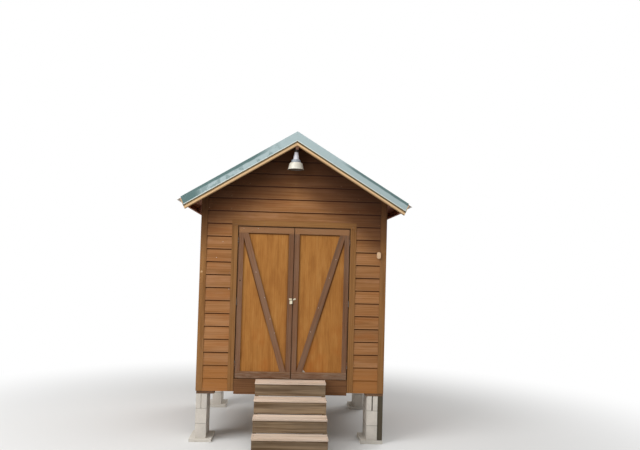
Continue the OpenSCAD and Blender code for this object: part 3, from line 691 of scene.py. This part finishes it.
trim_stain = timber("trim_stain", (0.318, 0.153, 0.052), (0.205, 0.090, 0.028), 0.3, 0.5,
                    spread=0.16, grey=(0.31, 0.19, 0.11), greyed=0.25, change=trim_marks_and_shade)
finished("corner_boards", trim_stain, 0.002)
finished("door_casings", trim_stain, 0.002)
first_nail, nail_gap, casing_top = 0.10, 0.41, 2.9
nails = []
for i in range(7):
    z = wall_bottom + first_nail + i * nail_gap
    for x in (1.172, 1.222):
        for side in (-1, 1):
            nails += [on_front(side * x, z, trim_face, i), on_back(side * x, z, trim_face, i)]
    for y in (0.03, 0.078):
        for side in (-1, 1):
            nails += [on_side(side, wall_front + y, z, trim_face, i),
                      on_side(side, wall_back - y, z, trim_face, i)]
    if z < casing_top:
        nails += [on_front(side * x, z, trim_face, i) for x in (0.760, 0.812) for side in (-1, 1)]
for x in (-0.78, -0.4, 0.0, 0.4, 0.78):
    nails += [on_front(x, z, trim_face) for z in (2.865, 2.900)]
set_out("trim_nails", nail_head(0.0038, 0.0008), nails, nail_steel)


# Roofing
# Ribbed steel sheets run from the ridge to the eaves, screwed down beside the ribs, with small
# stiffening ribs between. A bent cap covers the ridge, and a folded trim with a hem covers each
# gable edge. The steel is painted teal and has gone chalky and pale. On the gable trims the
# pale, most of all towards the ridge, is a painted reflection of the sky, and the hem has a
# painted highlight.
sheet_top, crest, cap_steel, trim_height = 0.014, 0.024, 0.0023, 0.108
hem_height, hem_proud, hem_above = 0.011, 0.0012, 0.060
rib_gap, first_rib = 0.229, 0.155
small_rib_middle, small_rib_length, small_rib_wide, small_rib_high = 0.915, 1.70, 0.016, 0.0034


def steel(name, dark, chalk_and_sky, share, last, finer=None):
    """Painted steel gone chalky: streaks down the slope, dull spots and dust. Where bands are
    given, as on the trim, its pale also stands for a painted reflection of the sky.
    """
    f = Finish(name)
    place = f.place()
    streak = f.drawn_cloud(f.parts(place), (1.6, 24, 1.6), 3, 0.6)
    dust = f.cloud(place, 8, 4, 0.6)
    speck = f.cloud(place, 55, 3, 0.7)
    chalk_and_reflection = f.between(dust * 0.6 + streak * 0.4, 0.62 - share * 0.5, 0.80 - share * 0.35)
    if finer:
        chalk_and_reflection = finer(f, place, dust, chalk_and_reflection)
    body = f.mixed(chalk_and_reflection, dark, chalk_and_sky)
    body = f.mixed(f.between(speck, 0.55, 0.75) * 0.30, body, darker(chalk_and_sky, 0.62))
    upward = f.facing()[2]
    body = f.mixed(f.between(upward * -1.0, 0.2, 0.5), body, (0.60, 0.60, 0.56))
    body = last(f, place, body)
    rough = f.between(dust, 0.2, 0.9) * 0.2 + 0.42
    return f.surface(body, rough, dust * 0.5 + streak * 0.2, 0.0008, {"Metallic": 0.1})


def bright_ends(f, place, body):
    """Bare metal on the sheets' front edges."""
    backward = f.facing()[1]
    return f.mixed(f.between(backward * -1.0, 0.8, 0.95), body, (0.80, 0.83, 0.80))


# A painted highlight along the trim's lower edge, over its hem.
def hem_highlight(f, place, body):
    return f.mixed(f.between(under_roof(f, place), 0.0700, 0.0730) * 0.85, body,
                   (0.66, 0.72, 0.69))


def reflection_bands(f, place, dust, chalk_and_reflection):
    """The gable trim's painted reflection of the sky: a teal band along the top, teal to the far
    left, and pale by the ridge.
    """
    x = f.parts(place)[0]
    deep = under_roof(f, place) + crest
    left = f.fading(x + dust * 0.1, -1.25, -1.13)
    top_left = f.fading(deep + dust * 0.03, 0.042, 0.060) * f.fading(x, -0.55, -0.25)
    worn = f.between(f.cloud(place, 15, 3, 0.6), 0.50, 0.62) * f.fading(x, -0.40, -0.10) * 0.5
    top_right = (f.fading(deep + dust * 0.02, 0.034, 0.046)
                 * f.between(x, 0.55, 0.80) * 0.9)
    # Teal where the painted reflection of the sky gives way, in bands and patches.
    bare = f.greater(left, f.greater(top_left, top_right))
    return 1 - f.greater(bare * 0.97, worn)


def hemmed(piece):
    """Presses the gable faces in. On the right slope a narrow hem is left along their foot."""
    foot = Vector((0, 0, ridge_line)) + clear * (crest + cap_steel - trim_height + hem_height)
    for side in (-1, 1):
        cut(piece, lambda face: face.center.x * side > 0, foot, (side * clear.x, 0, clear.z))
    front, back = (corner[1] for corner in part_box("rake_trims"))
    for gable, inward in ((front, hem_proud), (back, -hem_proud)):
        pick(piece, lambda face: abs(face.center.y - gable) < 0.0001
             and abs(face.normal.y) > 0.9
             and depth_under(face.center.x, face.center.z) < hem_above)
        bpy.ops.transform.translate(value=(0, inward, 0))
        bpy.ops.object.mode_set(mode="OBJECT")


roof_steel = steel("roof_steel", (0.150, 0.250, 0.245), (0.270, 0.370, 0.362), 0.62, bright_ends)
trim_steel = steel("trim_steel", (0.078, 0.150, 0.146), (0.400, 0.500, 0.510), 0.8, hem_highlight,
                   reflection_bands)
finished("roof_sheets", roof_steel, 0.0006)
finished("ridge_cap", trim_steel, 0.0006)
finished("rake_trims", trim_steel, 0.0005, shape=hemmed)

rib_ys = [front_line - first_rib + rib_gap * i for i in range(13)]
bpy.ops.object.select_all(action="DESELECT")
bpy.ops.mesh.primitive_cube_add(size=1, location=(0, 0, 0.0012))
small_rib = bpy.context.object
small_rib.scale = (small_rib_length, small_rib_wide, small_rib_high)
bpy.ops.object.transform_apply(location=True, rotation=True, scale=True)
pick(small_rib, lambda face: face.normal.z > 0.9)
bpy.ops.transform.resize(value=(1, 0.4, 1))
bpy.ops.object.mode_set(mode="OBJECT")
lies = []
for side in (-1, 1):
    lean = Matrix(((side * down.x, 0, down.z), (0, side, 0), (side * clear.x, 0, clear.z)))
    for y in rib_ys[:-1]:
        for part in (0.076, 0.153):
            middle = on_slope(side, small_rib_middle, sheet_top, y + part)
            lies.append(Matrix.Translation(middle) @ lean.transposed().to_4x4())
set_out("small_roof_ribs", small_rib, lies, roof_steel)

roof_screw = round_stub(12, 0.0085, -0.0005, 0.0015)
pick(roof_screw, lambda face: face.normal.z > 0.9)
bpy.ops.mesh.inset(thickness=0.0022, depth=0.0006)
bpy.ops.mesh.inset(thickness=0.0014)
bpy.ops.mesh.extrude_region_move(TRANSFORM_OT_translate={"value": (0, 0, 0.0042)})
bpy.ops.mesh.inset(thickness=0.0009, depth=0.0006)
bpy.ops.object.mode_set(mode="OBJECT")
cap_top = crest + cap_steel
trim_middles = (rib_ys[0] - 0.066, rib_ys[-1] + 0.066)
screw_places = [(y + 0.040, s, sheet_top) for y in rib_ys[:-1] for s in (0.28, 0.76, 1.24, 1.70)]
screw_places += [(y, 0.125, cap_top) for y in rib_ys[1:-1:2]]
screw_places += [(y, s, cap_top) for y in trim_middles for s in (0.42, 0.86, 1.30, 1.66)]
screws = [stand(on_slope(side, down_by, high, y), (side * clear.x, 0, clear.z), y * 7)
          for side in (-1, 1) for y, down_by, high in screw_places]
screw_steel = plain_metal("screw_steel", (0.36, 0.42, 0.41), 0.5, 0.4, rust=0.4)
set_out("roof_screws", roof_screw, screws, screw_steel)


# Doors
# Each leaf is a panel of amber-stained plywood under a frame of weathered boards: two
# stiles, two rails and a diagonal brace, nailed through with bright heads. The right panel
# has lost a chip of its face at the foot of the brace.
panel_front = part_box("left_door_panel")[0][1]
brace_foot, brace_side = (0.0703, 0.9273), (0.9591, 0.2831)
chip_corner, chip_size = (0.146, 0.928), (0.046, 0.052)


def ambered(f, place, body, height):
    """Runs of deeper stain down the face, redder by the foot, painted shadow along the frame,
    the chip.
    """
    x, y, z = f.parts(place)
    run = f.drawn_cloud((x, y, z), (15, 3, 2.4), 4, 0.65)
    fine = f.drawn_cloud((x, y, z), (60, 3, 5.0), 3, 0.6)
    pool = f.drawn_cloud((x, y, z), (3.6, 3, 2.1), 3, 0.6)
    body = f.mixed(f.between(run, 0.46, 0.68) * 0.50, body, (0.27, 0.098, 0.020))
    body = f.mixed(f.fading(run, 0.30, 0.48) * 0.40, body, (0.52, 0.260, 0.075))
    body = f.mixed(f.between(fine, 0.45, 0.70) * 0.28, body, (0.26, 0.105, 0.026))
    body = f.mixed(f.between(pool, 0.50, 0.70) * 0.28, body, (0.30, 0.110, 0.022))
    low = f.between(pool, 0.45, 0.75) * f.fading(z, 0.95, 1.9)
    body = f.mixed(low * 0.60, body, (0.42, 0.120, 0.018))
    aside = f.size_of(x)
    # A painted shadow beside the brace, under the top rail and beside the inner stiles.
    off_brace = (aside - brace_foot[0]) * brace_side[0] - (z - brace_foot[1]) * brace_side[1]
    darkening = f.between(off_brace, 0.068, 0.074) * f.fading(off_brace, 0.082, 0.098)
    darkening = darkening * f.between(z, 1.1, 1.9) * 0.9
    darkening = f.greater(darkening, f.between(z, 2.733, 2.745) * 0.85)
    darkening = f.greater(darkening, f.fading(aside, 0.076, 0.090) * 0.55)
    outside = f.fading(y, panel_front + 0.001, panel_front + 0.003)
    body = f.mixed(darkening * outside, body, (0.085, 0.030, 0.010))
    off_edge = (1 - (x - chip_corner[0]) / chip_size[0] - (z - chip_corner[1]) / chip_size[1])
    chip = f.between(off_edge, 0.0, 0.08) * f.between(x, 0.145, 0.147) * outside
    return f.mixed(chip, body, (0.72, 0.66, 0.56)), height - chip * 0.8


def marked_boards(f, place, body, height):
    """Door boards go greyer towards the foot, with a painted highlight on the bottom rail's top
    edge and painted shade along the leaf's edges; the left one has a small dark knot.
    """
    x, y, z = f.parts(place)
    worn = f.drawn_cloud((x, y, z), (5, 14, 70), 4, 0.65)
    low = f.fading(z, 0.918, 0.930)
    body = f.mixed(low * f.between(worn, 0.42, 0.62) * 0.55, body, (0.30, 0.215, 0.150))
    body = f.mixed(low * f.fading(worn, 0.34, 0.46) * 0.45, body, (0.13, 0.072, 0.042))
    # A painted highlight along the bottom rail's top edge.
    body = f.mixed(f.between(z, 0.914, 0.922) * low * 0.45, body, (0.42, 0.27, 0.15))
    body = f.mixed(f.between(z, 2.748, 2.756) * 0.65, body, (0.36, 0.180, 0.080))
    aside = f.size_of(x)
    # Painted shade along the leaf's edges, by the gaps round it.
    rim = f.greater(f.between(aside, 0.7315, 0.736), f.between(z, 2.827, 2.833))
    rim = f.greater(rim, f.fading(aside, 0.005, 0.009) * 0.8)
    body = f.mixed(rim * 0.7, body, (0.055, 0.022, 0.012))
    knot = f.near(place, (-0.703, wall_front - trim_face, 2.119), 0.013)
    return f.mixed(knot * 0.9, body, (0.05, 0.02, 0.012)), height - knot * 0.6


panel_stain = timber("panel_stain", (0.445, 0.195, 0.048), (0.355, 0.138, 0.030), 0.25, 0.35,
                     spread=0.05, rough=0.7, ring_gap=0.014, depth=0.0004, change=ambered)
board_grey = timber("board_grey", (0.230, 0.112, 0.058), (0.140, 0.066, 0.034), 0.35, 0.5,
                    knots=0.12, spread=0.2, rough=0.85, grey=(0.235, 0.150, 0.100), greyed=0.45,
                    change=marked_boards)
for leaf in ("left_door", "right_door"):
    finished(leaf + "_panel", panel_stain, 0.001, leaf, along=(0, 0, 1))
    for part in ("_stiles", "_rails", "_brace"):
        finished(leaf + part, board_grey, 0.002, leaf)
for leaf, side in (("left_door", -1), ("right_door", 1)):
    nails = [on_front(side * x, 0.98 + i * 0.29, trim_face, i)
             for x in (0.022, 0.052, 0.690, 0.720) for i in range(7)]
    nails += [on_front(side * x, z, trim_face)
              for x in (0.03, 0.22, 0.40, 0.56, 0.715) for z in (0.862, 0.905, 2.775, 2.812)]
    set_out(leaf + "_nails", nail_head(0.0040, 0.0009), nails, nail_steel,
            leaf)
for name, leaf, spots in (
        ("left_brace_nails", "left_door", ((-0.496, 2.236), (-0.374, 1.902), (-0.293, 1.621),
                                           (-0.228, 1.438), (-0.484, 2.815), (-0.673, 2.812))),
        ("right_brace_nails", "right_door", ((0.481, 2.182), (0.345, 1.781), (0.248, 1.462),
                                             (0.560, 2.430)))):
    set_out(name, nail_head(0.0046, 0.0014), [on_front(x, z, trim_face) for x, z in spots],
            bare_steel, leaf)


# Hinges, hasp and padlock
# Three steel butt hinges a leaf in the gap beside the casing. A brass hasp plate, and a
# staple with a small brass padlock hanging from it.
hinge_steel = plain_metal("hinge_steel", (0.16, 0.14, 0.12), 0.5, rust=0.5)
hasp_brass = plain_metal("hasp_brass", (0.74, 0.64, 0.46), 0.35, 0.5)
lock_brass = plain_metal("lock_brass", (0.90, 0.82, 0.60), 0.30, 0.4)
finished("frame_hinges", hinge_steel, 0)
finished("left_door_hinges", hinge_steel, 0, "left_door")
finished("right_door_hinges", hinge_steel, 0, "right_door")
finished("hasp_staple", hasp_brass, 0, "left_door")
finished("door_hasp", hasp_brass, 0.0005, "right_door")
finished("padlock", lock_brass, 0.0006, "left_door")


# Lamp
# An enamelled steel shade hangs under the ridge board from a dark round block: a grey collar
# with a groove and a cream bell with a rolled rim, its inside painted dark brown as shade.
def enamel(name, colour, rough, dark_above=None, grey_above=None):
    """Baked enamel under a little dust."""
    f = Finish(name)
    place = f.place()
    high = f.parts(place)[2]
    dust = f.cloud(place, 30, 4, 0.6)
    body = f.mixed(f.between(dust, 0.4, 0.8) * 0.3, colour, darker(colour, 0.82))
    if grey_above:
        body = f.mixed(f.between(high, grey_above - 0.001, grey_above), body,
                       (0.34, 0.37, 0.41))
    if dark_above:
        body = f.mixed(f.between(high, dark_above - 0.0008, dark_above), body,
                       (0.035, 0.022, 0.014))
    rough = f.between(dust, 0.2, 0.9) * 0.2 + rough
    return f.surface(body, rough, dust, 0.0002, {"Coat Weight": 0.2})


def spun(name, outline, axis):
    """A closed outline of radii and heights, spun round an upright axis."""
    bpy.ops.object.select_all(action="DESELECT")
    bpy.ops.mesh.primitive_circle_add(vertices=len(outline), radius=0.1)
    piece = bpy.context.object
    piece.name = name
    for vertex, (radius, high) in zip(piece.data.vertices, outline):
        vertex.co = (axis.x + radius, axis.y, high)
    bpy.ops.object.mode_set(mode="EDIT")
    bpy.ops.mesh.select_mode(type="VERT")
    bpy.ops.mesh.select_all(action="SELECT")
    bpy.ops.mesh.spin(steps=40, angle=math.tau, center=(axis.x, axis.y, 0), axis=(0, 0, 1))
    bpy.ops.mesh.select_all(action="SELECT")
    bpy.ops.mesh.remove_doubles(threshold=1e-5)
    bpy.ops.mesh.normals_make_consistent(inside=False)
    bpy.ops.object.mode_set(mode="OBJECT")
    return piece


shade_low, shade_high = (Vector(corner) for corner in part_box("lamp_shade"))
lamp_axis = (shade_low + shade_high) / 2
rim, top = shade_low.z, shade_high.z
shade_outline = [
    (0.0206, top), (0.050, top - 0.001), (0.058, top - 0.006), (0.062, top - 0.014),
    (0.062, top - 0.021), (0.059, top - 0.0235), (0.059, top - 0.0265), (0.0615, top - 0.029),
    (0.0615, top - 0.037), (0.069, top - 0.039), (0.078, top - 0.044), (0.085, top - 0.053),
    (0.0895, top - 0.067), (0.095, rim + 0.040), (0.101, rim + 0.016), (0.1045, rim + 0.007),
    (0.1075, rim + 0.0055), (0.108, rim + 0.002), (0.1065, rim), (0.1035, rim + 0.001),
    (0.0985, rim + 0.016), (0.092, rim + 0.041), (0.0865, top - 0.069), (0.082, top - 0.056),
    (0.076, top - 0.047), (0.068, top - 0.042), (0.0585, top - 0.040), (0.0585, top - 0.012),
    (0.054, top - 0.005), (0.0206, top - 0.003)]
shade = spun("lamp_shade_finished", shade_outline, lamp_axis)
shade.data.materials.append(enamel("shade_cream", (0.68, 0.64, 0.545), 0.3,
                                   grey_above=top - 0.040))
# The inside of the bell is painted dark brown as shade.
shade.data.materials.append(enamel("bell_inside_painted_shade", (0.085, 0.050, 0.030), 0.4))
for face in shade.data.polygons:
    spoke = Vector((face.center.x - lamp_axis.x, face.center.y - lamp_axis.y, 0))
    faces_in = face.normal.dot(spoke) < 0 and face.center.z < top - 0.002
    roof_of_bell = face.normal.z < -0.9 and spoke.length < 0.09
    face.material_index = 1 if faces_in or roof_of_bell else 0
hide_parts("lamp_shade")
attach(shade, "shed")
block_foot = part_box("lamp_holder")[1][2] - 0.034
lamp_white = enamel("lamp_white", (0.80, 0.80, 0.88), 0.3, dark_above=block_foot)
holder = finished("lamp_holder", lamp_white, 0)
for piece in (holder, shade):
    take(piece)
    bpy.ops.object.shade_smooth_by_angle(angle=math.radians(35))


# Steps
# Notched side boards carry five treads of two boards each, weathered pale, with grey-brown
# riser boards set back under them. Screws hold both to the side boards.
tread_timber = timber("tread_timber", (0.80, 0.63, 0.50), (0.50, 0.37, 0.26), 0.25, 0.6,
                      knots=0.25, ring_gap=0.018, grey=(0.68, 0.58, 0.49), greyed=0.4,
                      rough=0.85)
riser_timber = timber("riser_timber", (0.34, 0.245, 0.150), (0.130, 0.083, 0.047), 0.30, 0.8,
                      knots=0.25, ring_gap=0.018, grey=(0.30, 0.235, 0.165), greyed=0.35,
                      rough=0.85)
finished("step_stringers", riser_timber, 0.002)
finished("step_risers", riser_timber, 0.002)
finished("step_treads", tread_timber, 0.003)
treads_low, treads_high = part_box("step_treads")
step_rise, step_run, steps, riser_back = 0.178, 0.224, 5, 0.011
screws = []
for i in range(steps):
    front, high = treads_low[1] + step_run * (steps - 1 - i), treads_high[2] - step_rise * i
    last_down = 0.138 if i < steps - 1 else 0.092
    for x in (-0.433, 0.433):
        screws += [stand((x, front + part, high), (0, 0, 1), part * 9)
                   for part in (0.028, 0.088, 0.148, 0.208)]
        screws += [stand((x, front + riser_back, high - part), (0, -1, 0), part * 9)
                   for part in (0.062, last_down)]
set_out("step_screws", nail_head(0.0048, 0.0006), screws, nail_steel)


# Wall fitting
# A small oval box of beige plastic on the right corner board, with a raised rim round its
# face and a button in the middle.
def rimmed(piece):
    """Raises a rim round the face of the box and a button in its middle."""
    pick(piece, lambda face: face.normal.y < -0.9 and face.area > 0.002)
    bpy.ops.mesh.inset(thickness=0.006)
    bpy.ops.mesh.extrude_region_move(TRANSFORM_OT_translate={"value": (0, 0.004, 0)})
    bpy.ops.mesh.inset(thickness=0.009)
    bpy.ops.mesh.extrude_region_move(TRANSFORM_OT_translate={"value": (0, -0.003, 0)})
    bpy.ops.object.mode_set(mode="OBJECT")


fitting_plastic = enamel("fitting_plastic", (0.72, 0.49, 0.29), 0.5)
finished("wall_fitting", fitting_plastic, 0.0015, shape=rimmed)
